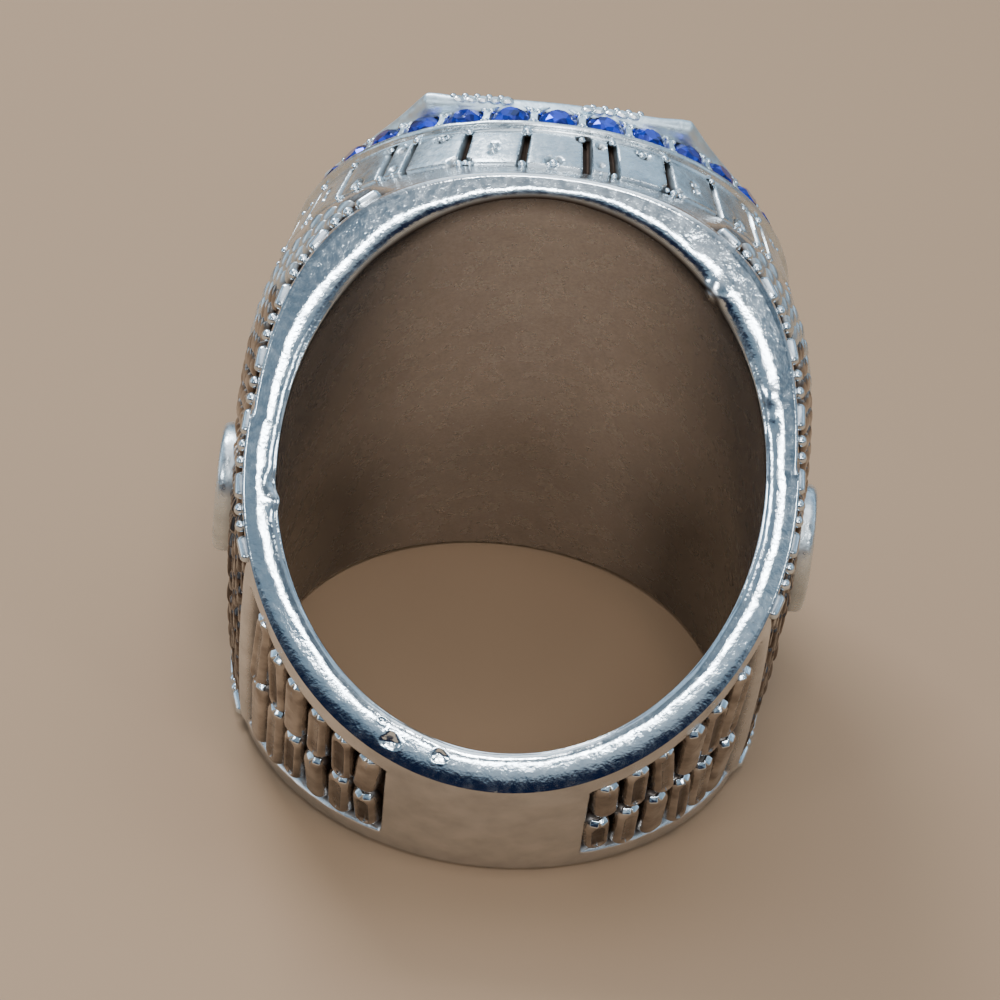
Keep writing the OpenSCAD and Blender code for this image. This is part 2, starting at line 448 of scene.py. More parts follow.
def noise(nt, coord, scale, detail=2.0, rough=0.5, stretch=None):
    n = nt.nodes.new("ShaderNodeTexNoise")
    n.inputs["Scale"].default_value = scale
    n.inputs["Detail"].default_value = detail
    n.inputs["Roughness"].default_value = rough
    src = coord
    if stretch is not None:
        mp = nt.nodes.new("ShaderNodeMapping")
        mp.inputs["Scale"].default_value = stretch
        link(nt, coord, mp.inputs["Vector"])
        src = mp.outputs["Vector"]
    link(nt, src, n.inputs["Vector"])
    return n.outputs["Fac"]


def ramp(nt, fac, stops):
    r = nt.nodes.new("ShaderNodeValToRGB")
    e = r.color_ramp.elements
    while len(e) < len(stops):
        e.new(0.5)
    for el, (p, c) in zip(e, stops):
        el.position = p
        el.color = (*c, 1) if len(c) == 3 else c
    link(nt, fac, r.inputs["Fac"])
    return r.outputs["Color"]


def rng_map(nt, fac, lo, hi, a, b):
    n = nt.nodes.new("ShaderNodeMapRange")
    n.inputs["From Min"].default_value = lo
    n.inputs["From Max"].default_value = hi
    n.inputs["To Min"].default_value = a
    n.inputs["To Max"].default_value = b
    link(nt, fac, n.inputs["Value"])
    return n.outputs["Result"]


def bump(nt, height, distance, strength, normal=None):
    n = nt.nodes.new("ShaderNodeBump")
    n.inputs["Distance"].default_value = distance
    n.inputs["Strength"].default_value = strength
    link(nt, height, n.inputs["Height"])
    if normal is not None:
        link(nt, normal, n.inputs["Normal"])
    return n.outputs["Normal"]


def mix_col(nt, fac, a, b):
    n = nt.nodes.new("ShaderNodeMix")
    n.data_type = "RGBA"
    for src, i in ((fac, 0), (a, 6), (b, 7)):
        if isinstance(src, (tuple, list)):
            n.inputs[i].default_value = (*src, 1)
        elif isinstance(src, float):
            n.inputs[i].default_value = src
        else:
            link(nt, src, n.inputs[i])
    return n.outputs[2]


def metal(name, light, dark, rough=(0.07, 0.2), ripple=0.9, grain=0.35, residue_and_shade_col=(0.042, 0.028, 0.021), hammer=0.40, brushed=None):
    """Plated metal: rippled reflections, fine grain, and a dark colour mixed in where the mesh's residue_and_shade
    attribute says: dark residue in the sunk fields, painted shade in recesses, creases and gaps.
    """
    m, nt, b = nodes_of(name)
    co = nt.nodes.new("ShaderNodeTexCoord").outputs["Object"]
    n1 = noise(nt, co, 900, 3)
    n2 = noise(nt, co, 3200, 2)
    n3 = noise(nt, co, 9000, 2)
    base = ramp(nt, n1, [(0.3, dark), (0.7, light)])
    at = nt.nodes.new("ShaderNodeAttribute")
    at.attribute_name = "residue_and_shade"
    so = rng_map(nt, at.outputs["Fac"], 0.05, 0.9, 0.0, 1.0)
    base = mix_col(nt, so, base, residue_and_shade_col)
    link(nt, base, b.inputs["Base Color"])
    b.inputs["Metallic"].default_value = 1.0
    r = rng_map(nt, n2, 0.3, 0.7, rough[0], rough[1])
    add = nt.nodes.new("ShaderNodeMath")
    add.operation = "MULTIPLY_ADD"
    link(nt, so, add.inputs[0])
    add.inputs[1].default_value = 0.35
    link(nt, r, add.inputs[2])
    link(nt, add.outputs[0], b.inputs["Roughness"])
    nrm = bump(nt, n1, 0.00012 * ripple, 0.30)
    nrm = bump(nt, n2, 0.00004 * ripple, hammer, nrm)
    nrm = bump(nt, n3, 0.000012, grain, nrm)
    if brushed:
        for stretch in brushed:
            nrm = bump(nt, noise(nt, co, 1.0, 3, stretch=stretch), 0.000013, 0.5, nrm)
    link(nt, nrm, b.inputs["Normal"])
    return m


CHROME = metal("plated_metal", (0.81, 0.90, 0.97), (0.68, 0.77, 0.85), rough=(0.08, 0.17), ripple=0.8, grain=0.45, hammer=0.22)
# relief metal: a darker, browner copy of the plated metal, partly dark residue and partly painted shade and painted
# reflection of the floor
RELIEF = metal("relief_metal", (0.56, 0.525, 0.495), (0.22, 0.19, 0.172), rough=(0.07, 0.18), ripple=1.2)
# painted shade: a much darker copy of the relief metal, for the low petals and ribs of the flanks
SHADED_RELIEF_M = metal("shaded_relief_metal", (0.17, 0.142, 0.128), (0.045, 0.034, 0.030), rough=(0.06, 0.18), ripple=1.6)
BAND_M = metal("satin_band_metal", (0.78, 0.80, 0.82), (0.62, 0.635, 0.65), rough=(0.14, 0.27), ripple=0.9, grain=0.3, hammer=0.24,
               brushed=((300, 300, 5200), (700, 700, 1800)))
WALL_M = metal("wall_metal", (0.80, 0.88, 0.93), (0.62, 0.69, 0.74), rough=(0.20, 0.34), ripple=1.0)
CROWN_M = metal("crown_metal", (0.78, 0.93, 1.0), (0.68, 0.82, 0.93), rough=(0.36, 0.50), ripple=1.3)


def bore_material():
    """Satin inside of the finger hole: dull, warm, finely scratched and blotched."""
    m, nt, b = nodes_of("satin_metal")
    co = nt.nodes.new("ShaderNodeTexCoord").outputs["Object"]
    big = noise(nt, co, 170, 3, 0.5)
    mid = noise(nt, co, 900, 4, 0.62)
    speck = noise(nt, co, 7000, 2, 0.6)
    fine = noise(nt, co, 1.0, 3, stretch=(900, 900, 9000))
    fine2 = noise(nt, co, 1.0, 3, stretch=(6500, 1200, 900))
    col = ramp(nt, big, [(0.30, (0.64, 0.60, 0.57)), (0.70, (0.86, 0.82, 0.79))])
    col2 = ramp(nt, mid, [(0.30, (0.56, 0.52, 0.49)), (0.72, (0.90, 0.86, 0.83))])
    col3 = ramp(nt, speck, [(0.35, (0.42, 0.39, 0.37)), (0.65, (0.96, 0.93, 0.90))])
    # near-black mixed in where the mesh's residue_and_shade attribute says: painted shade inside the hole
    at = nt.nodes.new("ShaderNodeAttribute")
    at.attribute_name = "residue_and_shade"
    worn = mix_col(nt, 0.3, mix_col(nt, 0.35, col, col2), col3)
    link(nt, mix_col(nt, rng_map(nt, at.outputs["Fac"], 0.0, 1.0, 0.0, 0.92), worn, (0.095, 0.088, 0.084)), b.inputs["Base Color"])
    b.inputs["Metallic"].default_value = 0.84
    link(nt, rng_map(nt, mid, 0.3, 0.7, 0.21, 0.31), b.inputs["Roughness"])
    nrm = bump(nt, mid, 0.00004, 0.25)
    nrm = bump(nt, speck, 0.000012, 0.6, nrm)
    nrm = bump(nt, fine, 0.000012, 0.6, nrm)
    nrm = bump(nt, fine2, 0.000012, 0.5, nrm)
    link(nt, nrm, b.inputs["Normal"])
    return m


BORE_M = bore_material()


def stone_material(name, colour, lit_patch_colour, metallic=0.0, rough=0.03, transmission=0.0, ior=1.6, facets=0.5, coat=1.0):
    m, nt, b = nodes_of(name)
    co = nt.nodes.new("ShaderNodeTexCoord").outputs["Object"]
    v = nt.nodes.new("ShaderNodeTexVoronoi")
    v.inputs["Scale"].default_value = 2600
    link(nt, co, v.inputs["Vector"])
    # patches of the lighter colour stand in for lit facets: painted reflection
    link(nt, ramp(nt, v.outputs["Color"], [(0.15, colour), (0.85, lit_patch_colour)]), b.inputs["Base Color"])
    b.inputs["Metallic"].default_value = metallic
    b.inputs["Roughness"].default_value = rough
    b.inputs["IOR"].default_value = ior
    b.inputs["Transmission Weight"].default_value = transmission
    b.inputs["Coat Weight"].default_value = coat
    b.inputs["Coat Roughness"].default_value = 0.02
    n = noise(nt, co, 1500, 1)
    link(nt, bump(nt, n, 0.00005, facets), b.inputs["Normal"])
    return m


BLUE = stone_material("blue_glass", (0.002, 0.008, 0.10), (0.012, 0.045, 0.62), metallic=0.75, facets=0.7, coat=0.25)
BRIGHT = stone_material("bright_glass", (0.86, 0.95, 1.0), (1.0, 1.0, 1.0), metallic=0.9, rough=0.10, facets=1.0)
CLEAR = stone_material("clear_glass", (0.80, 0.83, 0.86), (0.97, 0.98, 1.0), metallic=0.85, rough=0.02, facets=0.25)


def big_stone_material():
    m, nt, b = nodes_of("centre_glass")
    co = nt.nodes.new("ShaderNodeTexCoord").outputs["Object"]
    n = noise(nt, co, 300, 2)
    link(nt, ramp(nt, n, [(0.3, (0.93, 0.95, 0.98)), (0.7, (1, 1, 1))]), b.inputs["Base Color"])
    b.inputs["Roughness"].default_value = 0.0
    b.inputs["IOR"].default_value = 1.9
    b.inputs["Transmission Weight"].default_value = 1.0
    link(nt, bump(nt, n, 0.00001, 0.1), b.inputs["Normal"])
    return m


CENTRE_M = big_stone_material()

# ------------------------------------------------------------------ band: inside, lips and side faces
upper, zb_up, ez_up = rim_rows(1, WANDER)
lower, zb_lo, ez_lo = rim_rows(-1, np.roll(WANDER, 200) * 0.8)
c_, s_ = np.cos(TH), np.sin(TH)

up_rim = flaws(upper)
LIP_KEEP = 4                      # rows of the lip that stay satin, like the wall of the hole
hole = [np.stack([BORE * c_, BORE * s_, mix(-zb_lo, zb_up, t)], -1) for t in np.linspace(0, 1, 26)]
hole = np.concatenate([lower[1:LIP_KEEP][::-1], np.array(hole), up_rim[1:LIP_KEEP]])
# painted shade: the hole's wall is darker at its left and right, towards its lower end and just under the head,
# standing in for dark reflections and shade in the hole
bore_shade = smooth(0.35, 0.98, np.abs(np.cos(TH)))[None, :] * 0.85 + 0.45 * smooth(2.0, -9.0, hole[..., 2])
bore_shade[-LIP_KEEP:] += (0.6 * HEADNESS + 0.2 * (1 - BACKNESS))[None, :]
make("finger_hole_wall", hole, [grid_faces(len(hole), COLS, flip=True)], BORE_M, "ring_metal", darkening=np.clip(bore_shade, 0, 1))

up_rim, lower = up_rim[LIP_KEEP - 1:], lower[LIP_KEEP - 1:]
# painted shade: a dark line along the hole's edge under the head, standing in for a dark reflection there
lip_shade_line = 0.9 * HEADNESS[None, :] * np.exp(-((np.hypot(up_rim[..., 0], up_rim[..., 1]) - BORE) / 0.15) ** 2)
make("upper_rim", up_rim, [grid_faces(len(up_rim), COLS, flip=True)], CHROME, "ring_metal", replaces=("ring_body",), darkening=lip_shade_line)
make("lower_rim", lower, [grid_faces(len(lower), COLS)], CHROME, "ring_metal")

# ------------------------------------------------------------------ band: outside with its sunk fields
ROWS = 130
u = np.linspace(-1, 1, ROWS)
u = 0.55 * u + 0.45 * np.sin(u * np.pi / 2)
ZMAX_UP, ZMAX_LO = ZE - ez_up, ZE - ez_lo
Z = np.where(u[:, None] >= 0, u[:, None] * ZMAX_UP[None, :], u[:, None] * ZMAX_LO[None, :])
THG = np.broadcast_to(TH[None, :], Z.shape)


def panel_mask(th, z, soft=0.10):
    """1 inside the two sunk back panels."""
    phi = np.degrees(np.abs((th + np.pi / 2 + np.pi) % (2 * np.pi) - np.pi))
    y = 12 * np.sin(th)
    lim = HALF_W + SLOPE * y
    s = soft / 12 * 57.3
    return smooth(PANEL_FROM - s, PANEL_FROM + s, phi) * (1 - smooth(PANEL_TO - s, PANEL_TO + s, phi)) \
        * (1 - smooth(lim - RAIL_UP - soft, lim - RAIL_UP + soft, z)) \
        * (1 - smooth(lim - RAIL_LO - soft, lim - RAIL_LO + soft, -z))


SIDE_LO = -19.0


def side_top(z):
    """Upper limit of the flank's field in degrees, a little below the foot of the head's wall."""
    x = 12.0 * np.maximum(1 - (np.minimum(np.abs(z), 14.4) / 14.7) ** 2.2, 1e-3) ** (1 / 2.2)
    return np.minimum(np.degrees(np.arctan2(12.25, x)) - 3.0, 57.0)


def edge_at(th):
    """Half length along the finger at direction th, from the table."""
    return np.interp(np.mod(th, 2 * np.pi), TH, ZE, period=2 * np.pi)


def side_mask(th, z, soft=0.12):
    """1 inside the shallow sunk field of each flank."""
    a = np.degrees(np.where(np.cos(th) >= 0, th, np.pi - th))
    a = (a + 180) % 360 - 180
    lim = edge_at(th) - 0.75
    s = soft / 12 * 57.3
    top = side_top(z)
    return smooth(SIDE_LO - s, SIDE_LO + s, a) * (1 - smooth(top - s, top + s, a)) \
        * (1 - smooth(lim - soft, lim + soft, np.abs(z)))


def surface(th, z):
    """Outside of the band and shoulders with its sunk fields."""
    r = outer_r(th, z)
    return r - PANEL_DEPTH * panel_mask(th, z) - 0.22 * side_mask(th, z)


R = surface(THG, Z)
# fine groove between the upper side face and the head
EDGE_DIST = np.minimum(np.abs(ZMAX_UP[None, :] - Z), np.abs(Z + ZMAX_LO[None, :]))
R = R - 0.07 * HEADNESS[None, :] * np.exp(-((EDGE_DIST - 0.05) / 0.10) ** 2)
R = R + 0.02 * value_noise(np.stack([THG * 9, Z * 0.7, 0 * Z], -1), 8) * smooth(0, 0.6, EDGE_DIST)
# rounded bar between each flank's field and the back panel
FLANK_A = (np.degrees(np.where(np.cos(THG) >= 0, THG, np.pi - THG)) + 180) % 360 - 180
R = R + 0.16 * np.exp(-np.abs((FLANK_A + 21.5) / 1.9) ** 3) * smooth(0.5, 1.2, EDGE_DIST)
# darker in the sunk back panels and flank fields, partly dark residue and partly painted shade, and a painted shade
# line in the groove by the head
residue_and_shade = 0.9 * panel_mask(THG, Z, 0.06) + 0.85 * side_mask(THG, Z, 0.06) \
    + 0.5 * HEADNESS[None, :] * np.exp(-((EDGE_DIST - 0.04) / 0.07) ** 2)
make("band_outside", point(THG, R, Z), [grid_faces(ROWS, COLS)], BAND_M, "ring_metal", darkening=np.clip(residue_and_shade, 0, 1))


def place(th, z, lift=0.0, base=outer_r):
    """Point, right (round the ring), up (along the finger) and outward directions on the outside."""
    e = 1e-3
    P = point(np.float64(th), base(np.float64(th), np.float64(z)), np.float64(z))
    A = point(np.float64(th + e), base(np.float64(th + e), np.float64(z)), np.float64(z)) - P
    B = point(np.float64(th), base(np.float64(th), np.float64(z + e)), np.float64(z + e)) - P
    n = np.cross(A, B)
    n /= np.linalg.norm(n)
    up = B / np.linalg.norm(B)
    right = np.cross(up, n)
    return P + n * lift, right, up, n


# ------------------------------------------------------------------ back panels: two rows of raised blocks with oval dimples
BLOCK_PITCH, BLOCK_FIRST, BLOCK_COUNT = 6.75, 25.9, 6
for side, label in ((1, "right"), (-1, "left")):
    heap, ends = Heap(), Heap()
    for i in range(BLOCK_COUNT):
        for row in (-1, 1):
            j = RNG.uniform(-1, 1, 7)
            phi = BLOCK_FIRST + BLOCK_PITCH * i - (0.9 if row < 0 and side > 0 else 0.0) + 0.25 * j[0]
            th = math.radians(-90 + side * phi)
            y = -12 * math.cos(math.radians(phi))
            top_z, low_z = HALF_W + SLOPE * y - RAIL_UP - 0.06, -(HALF_W + SLOPE * y - RAIL_LO - 0.24)
            mid_z = (top_z + low_z) / 2
            h = (top_z - low_z - 0.30) / 4 * (1 + 0.03 * j[6])
            z = mid_z + row * (h + 0.15)
            P, right, up, n = place(th, z + 0.05 * j[1], lift=-PANEL_DEPTH)
            n = n + 0.07 * j[2] * right + 0.05 * j[3] * up
            right, up, n = axes_from(n, up + 0.05 * j[4] * right)
            w = 0.635 + 0.02 * j[5]
            top = 0.64 + 0.04 * j[2]
            kind = (i + (row > 0) * 2) % 3
            ring = rounded_rect(w, h, 0.56, 44, skew=0.05 * j[0])
            levels = [(-0.02, -0.15), (0.0, 0.05), (0.02, top - 0.44), (0.06, top - 0.28), (0.13, top - 0.14), (0.21, top - 0.05),
                      (0.29, top)]
            if kind == 0:
                levels += [(0.33, top - 0.02), (0.37, top - 0.09), (0.42, top - 0.15), (0.52, top - 0.17)]
            elif kind == 1:
                levels += [(0.35, top), (0.41, top - 0.05), (0.47, top - 0.09), (0.54, top - 0.10)]
            else:
                levels += [(0.42, top + 0.02), (0.52, top + 0.03)]
            button(heap, P, right, up, n, ring, levels)
            # painted highlight: the upper ends are pads in the brighter plated metal with no darkening, a lit copy of
            # the block's metal
            for half in (-1, 1):
                nn = 0.46 * n + 0.89 * up + right * (0.24 * half + 0.06 * j[3])
                r2, u2, n2 = axes_from(nn, up)
                q = P + up * (h - 0.07) + n * (top - 0.20) + right * (half * w * 0.30)
                button(ends, q, r2, u2, n2, rounded_rect(w * 0.30, 0.17, 0.07, 16), [(0, -0.15), (0.0, 0.03), (0.025, 0.05), (0.05, 0.055)],
                       darkening=0.0)
    heap.done("back_panel_blocks_" + label, RELIEF, "ring_metal")
    ends.done("back_panel_block_ends_" + label, CHROME, "ring_metal")

# ------------------------------------------------------------------ flanks: plaque, leaves and ribs
for side, label in ((1, "right"), (-1, "left")):
    beads = Heap()
    ribs = Heap()
    X = np.array([side, 0, 0], float)
    Zv = np.array([0, 0, 1.0])
    Yv = np.array([0, 1.0, 0]) * 1.0
    right = np.cross(Zv, X)      # along the ring
    # oval plaque: stepped rim, sunk field, domed boss
    P0 = X * 11.2 + np.array([0, 3.4, 0])
    ring = oval_outline(2.7, 3.4, 96, 2.0)
    levels = [(-0.05, 0.3), (0.0, 1.0), (0.0, 1.62), (0.03, 1.78), (0.10, 1.90), (0.20, 1.96), (0.32, 1.97), (0.42, 1.92),
              (0.48, 1.78), (0.55, 1.70), (0.8, 1.69), (1.2, 1.68), (1.8, 1.67), (2.3, 1.66), (2.6, 1.66)]
    plaque = Heap()
    button(plaque, P0, right, Zv, X, ring, levels)
    for i in range(40):
        t = 2 * math.pi * i / 40
        c, s = math.cos(t), math.sin(t)
        a, b = 2.02 * c, 2.72 * s
        bead(beads, P0 + right * a + Zv * b + X * 1.72, 0.16)
    # laurel of two branches round a faceted boss
    for br in (-1, 1):
        for i in range(5):
            v = -1.75 + 3.2 * i / 4
            ux = br * (1.22 - 0.10 * v * v)
            for tw in (-1, 1):
                d = np.array([0.45 * tw * 1.0 + 0.12 * br * -v * 0.3, 0.9])
                d /= np.linalg.norm(d)
                upv = right * d[0] + Zv * d[1]
                p = P0 + right * (ux + 0.20 * tw) + Zv * (v + 0.12) + X * 1.60
                r2, u2, n2 = axes_from(X, upv)
                button(plaque, p, r2, u2, n2, leaf_outline(0.82, 0.36, 20),
                       [(0, 0), (0.02, 0.12), (0.07, 0.22), (0.13, 0.26), (0.17, 0.27)])
    p = P0 + X * 1.60
    button(plaque, p, right, Zv, X, oval_outline(0.66, 0.85, 8), [(0, 0), (0.0, 0.16), (0.26, 0.34), (0.4, 0.36)])
    # the plaque is in the lighter wall metal: a lit copy of the flank's metal
    plaque.done("flank_plaque_" + label, WALL_M, "ring_metal")
    # ribs below the plaque, like feathers lying over each other
    for i, a in enumerate((-6.5, -10.5, -14.3, -17.8)):
        th = math.radians(a if side > 0 else 180 - a)
        y = 12 * math.sin(math.radians(a))
        lim = HALF_W + SLOPE * y - 1.2
        m = 9
        for k in range(m):
            z = -lim + 2 * lim * (k + 0.5) / m
            j = RNG.uniform(-1, 1, 4)
            P, rt, up, n = place(th + 0.012 * j[0], z, lift=-0.24)
            n2 = n + rt * side * (0.10 + 0.10 * j[1])
            r2, u2, n2 = axes_from(n2, up + 0.15 * j[2] * rt)
            top = 0.34 + 0.05 * j[3]
            button(ribs, P, r2, u2, n2, rounded_rect(0.33, lim / m * 0.84, 0.26, 24),
                   [(-0.03, -0.1), (0, top - 0.22), (0.05, top - 0.09), (0.12, top - 0.02), (0.2, top)])
    # petals lying over each other in rings round the plaque, out to the edges of the field
    petals, high, deep = Heap(), Heap(), Heap()
    a0 = math.degrees(math.asin(3.4 / 12.3))
    for k in range(14):
        ra, rz_ = 2.7 + 0.55 + 1.08 * k, 3.4 + 0.55 + 1.08 * k
        t = np.linspace(0, 2 * np.pi, 721)
        ln = np.concatenate([[0], np.cumsum(np.hypot(np.diff(ra * np.cos(t)), np.diff(rz_ * np.sin(t))))])
        m = int(round(ln[-1] / 0.98))
        for q in range(m):
            tt = float(np.interp((q + 0.5 * (k % 2)) / m * ln[-1], ln, t))
            a, z = a0 + math.degrees(ra * math.cos(tt) / 12.3), rz_ * math.sin(tt)
            d = np.array([math.cos(tt) * rz_, math.sin(tt) * ra])
            d /= np.linalg.norm(d)
            th = math.radians(a if side > 0 else 180 - a)
            a2, z2 = a + math.degrees(0.5 * d[0] / 12.3), z + 0.5 * d[1]
            if a2 < -4.6 or a2 > float(side_top(z2)) - 1.0 or abs(z2) > edge_at(th) - 1.75:
                continue
            P, rt, up, n = place(th, z, lift=-0.20)
            ax = rt * side * d[0] + up * d[1]
            j = RNG.uniform(-1, 1, 3)
            r2, u2, n2 = axes_from(n - 0.20 * ax + 0.05 * j[0] * rt + 0.05 * j[1] * up, ax)
            # lit and shaded copies of one metal by place on the flank: the lighter wall metal high up, relief metal in
            # the middle, the shaded relief metal low down
            button(high if a2 > 36 else deep if a2 < 7 else petals, P, r2, u2, n2, leaf_outline(1.55, 0.96, 20),
                   [(-0.02, -0.1), (0, 0.10), (0.05, 0.24), (0.16, 0.34), (0.34, 0.42), (0.44, 0.43)])
    petals.done("flank_petals_" + label, RELIEF, "ring_metal")
    high.done("shoulder_petals_" + label, WALL_M, "ring_metal")
    deep.done("flank_low_petals_" + label, SHADED_RELIEF_M, "ring_metal")
    # bars and beads along both edges of the field
    bars = Heap()
    a, n_i = SIDE_LO + 2, 0
    while a < 56:
        th = math.radians(a if side > 0 else 180 - a)
        for sg in (-1, 1):
            z = sg * (edge_at(th) - 1.10)
            if a > float(side_top(z)) - 1.5:
                continue
            P, rt, up, n = place(th, z, lift=-0.20)
            r2, u2, n2 = axes_from(n + 0.12 * RNG.uniform(-1, 1) * up, up)
            if n_i % 3 == 0:
                button(bars, P, r2, u2, n2, rounded_rect(0.62, 0.27, 0.25, 20),
                       [(-0.02, -0.1), (0, 0.20), (0.05, 0.36), (0.12, 0.44), (0.2, 0.47)])
            else:
                bead(bars, P + n * 0.24, 0.27, fine=True)
        a += 4.3 if n_i % 3 in (0, 2) else 3.0
        n_i += 1
    bars.done("flank_edge_bars_" + label, CHROME, "ring_metal")
    beads.done("flank_beads_" + label, RELIEF, "ring_metal")
    # ribs in the shaded relief metal: painted shade on the low part of the flank
    ribs.done("flank_ribs_" + label, SHADED_RELIEF_M, "ring_metal")


# ------------------------------------------------------------------ head
def spow(v, e):
    return np.sign(v) * np.abs(v) ** e


def oval(a, b, n, t):
    return np.stack([a * spow(np.cos(t), 2 / n), b * spow(np.sin(t), 2 / n)], -1)


_t = np.linspace(0, 2 * np.pi, 14401)
_p = oval(ROW_X, ROW_Z, 2.15, _t)
_len = np.concatenate([[0], np.cumsum(np.linalg.norm(np.diff(_p, axis=0), axis=1))])
ROW_LEN = _len[-1]


def t_at(f):
    """Turn angle at share f of the way round the row of blue stones."""
    return np.interp(np.asarray(f, float) % 1.0 * ROW_LEN, _len, _t)


def out_dir(t):
    """Outward direction in the plane of the head, at turn t."""
    e = 1e-4
    d = oval(ROW_X, ROW_Z, 2.15, t + e) - oval(ROW_X, ROW_Z, 2.15, t - e)
    n = np.stack([d[..., 1], -d[..., 0]], -1)
    return n / np.linalg.norm(n, axis=-1, keepdims=True)


# wall: repeats of one narrow and three wide blocks, with points bunched at the gaps between them
REPEATS, WALL_START, NARROW = 9, 0.2265, 0.13
wide = (1 - NARROW) / 3
cuts, kinds = [], []
for k in range(REPEATS):
    for e, kind in ((-NARROW / 2, 3), (NARROW / 2, 0), (NARROW / 2 + wide, 1), (NARROW / 2 + 2 * wide, 2)):
        cuts.append(WALL_START + (k + e) / REPEATS)
        kinds.append(kind)
cuts, KIND = np.array(cuts), np.array(kinds)
NB = len(cuts)
WALL_LEN = ROW_LEN * 1.06
ends = np.array([0, .05, .09, .12, .145, .17, .20, .25, .32, .42])
F, block_index, d_gap, u_mm, half_mm = [], [], [], [], []
for i in range(NB):
    f0, f1 = cuts[i], cuts[(i + 1) % NB] + (1 if i == NB - 1 else 0)
    W = (f1 - f0) * WALL_LEN
    inner = np.linspace(0.42, W - 0.42, max(int(math.ceil((W - 0.84) / 0.11)), 2) + 1)[1:-1]
    d = np.concatenate([ends, inner, (W - ends[::-1])[:-1]])
    F.append(f0 + d / WALL_LEN)
    block_index.append(np.full(len(d), i))
    d_gap.append(np.minimum(d, W - d))
    u_mm.append(d - W / 2)
    half_mm.append(np.full(len(d), W / 2))
F, block_index, d_gap, u_mm, half_mm = (np.concatenate(v) for v in (F, block_index, d_gap, u_mm, half_mm))
TW = t_at(F)
NCW = len(TW)
ys = [12.25, 12.45, 12.55, 12.62, 12.68, 12.74, 12.82, 12.90]
ys += list(np.linspace(13.0, 14.72, 19)) + [14.80, 14.88, 14.95, 15.0, 15.04, 15.08, 15.13, 15.18]


def wall_size(y):
    k = (y - 12.5) / 2.7
    return 12.0 - 0.8 * k, 14.7 - 1.2 * k, 2.2 - 0.05 * min(max(k, 0), 1)


jit = RNG.uniform(-1, 1, (NB, 8))
rowsW, wall_darkening = [], []
OD = out_dir(TW)
J = jit[block_index]
k = KIND[block_index]
for y in ys:
    a, b, n = wall_size(y)
    P = oval(a, b, n, TW)
    v = (y - 13.85) / 1.2                          # -1..1 up the block
    vm = y - 13.85                                 # mm from the block's middle
    in_h = smooth(-1.04, -0.95, v) * (1 - smooth(0.96, 1.05, v))
    gw = 0.15 + 0.04 * J[:, 0] + 0.03 * v * J[:, 4]
    gap = (1 - smooth(gw - 0.06, gw + 0.08, d_gap)) * in_h
    uu = u_mm / half_mm
    face = in_h * (0.06 * (1 - np.abs(uu) ** 6) * (1 - abs(v) ** 6) + 0.03 * J[:, 1] + 0.035 * J[:, 2] * uu
                   + 0.03 * J[:, 3] * v)
    foot_gap = 0.30 * (1 - smooth(-1.0, -0.88, v)) * smooth(-1.16, -1.05, v)
    top_gap = 0.10 * smooth(0.9, 0.98, v) * (1 - smooth(1.02, 1.1, v))

    def cup(cu, cv, r, depth):
        rad = np.sqrt((u_mm - cu) ** 2 + (vm - cv) ** 2)
        return depth * (1 - smooth(r - 0.09, r + 0.05, rad))
    dents = np.where(k == 0, cup(0.05, -0.80, 0.30, 0.30) + cup(-half_mm + 0.15, 1.05, 0.34, 0.30), 0)
    dents = dents + np.where(k == 1, cup(0.0, -0.30, 0.17, 0.22) + cup(0.02, 0.12, 0.17, 0.22) + cup(half_mm - 0.15, -1.05, 0.36, 0.30), 0)
    dents = dents + np.where(k == 2, cup(-0.1, 0.85, 0.32, 0.30) + cup(-half_mm + 0.15, -1.05, 0.32, 0.28), 0)
    top_third = np.where(k == 3, cup(0.0, 0.62, 0.17, 0.24) + cup(0.0, -0.66, 0.13, 0.16), 0)
    d = face - 0.42 * gap - (dents + top_third) * in_h - foot_gap - top_gap * 0.5
    P = P + OD * d[:, None]
    rowsW.append(np.column_stack([P[:, 0], np.full(NCW, y), P[:, 1]]))
    # painted shade: darker in the gaps between blocks, in the cups, along the foot and under the top of the wall
    wall_darkening.append(np.clip(1.0 * gap + dents * 2.6 * in_h + top_third * 3.2 + 0.9 * foot_gap + top_gap * 1.5, 0, 1))
# rail over the wall: a rounded ledge
for y, a, b, dz in ((15.22, 11.24, 13.54, 0), (15.25, 11.31, 13.61, 0), (15.30, 11.36, 13.66, 0), (15.38, 11.38, 13.68, 0),
                    (15.46, 11.37, 13.67, 0), (15.53, 11.33, 13.63, 0), (15.58, 11.26, 13.56, 0), (15.60, 11.15, 13.45, 0),
                    (15.60, 11.02, 13.30, 0), (15.55, 10.9, 13.18, 0)):
    P = oval(a, b, 2.15, TW)
    w = 0.02 * value_noise(np.stack([F * 90, 0 * F, 0 * F + y], -1), 21)
    P = P + OD * w[:, None]
    rowsW.append(np.column_stack([P[:, 0], np.full(NCW, y) + w * 0.6, P[:, 1]]))
    wall_darkening.append(np.zeros(NCW))
make("head_wall", np.array(rowsW), [grid_faces(len(rowsW), NCW, flip=True)], WALL_M, "ring_metal", darkening=np.array(wall_darkening),
     smooth_angle=50)

# beads at the gaps and in the cups
heap = Heap()


def on_wall(f, y, sink):
    a, b, n = wall_size(y)
    tt = np.float64(t_at(f))
    p = oval(a, b, n, tt) - out_dir(tt) * sink
    return np.array([p[0], y, p[1]])


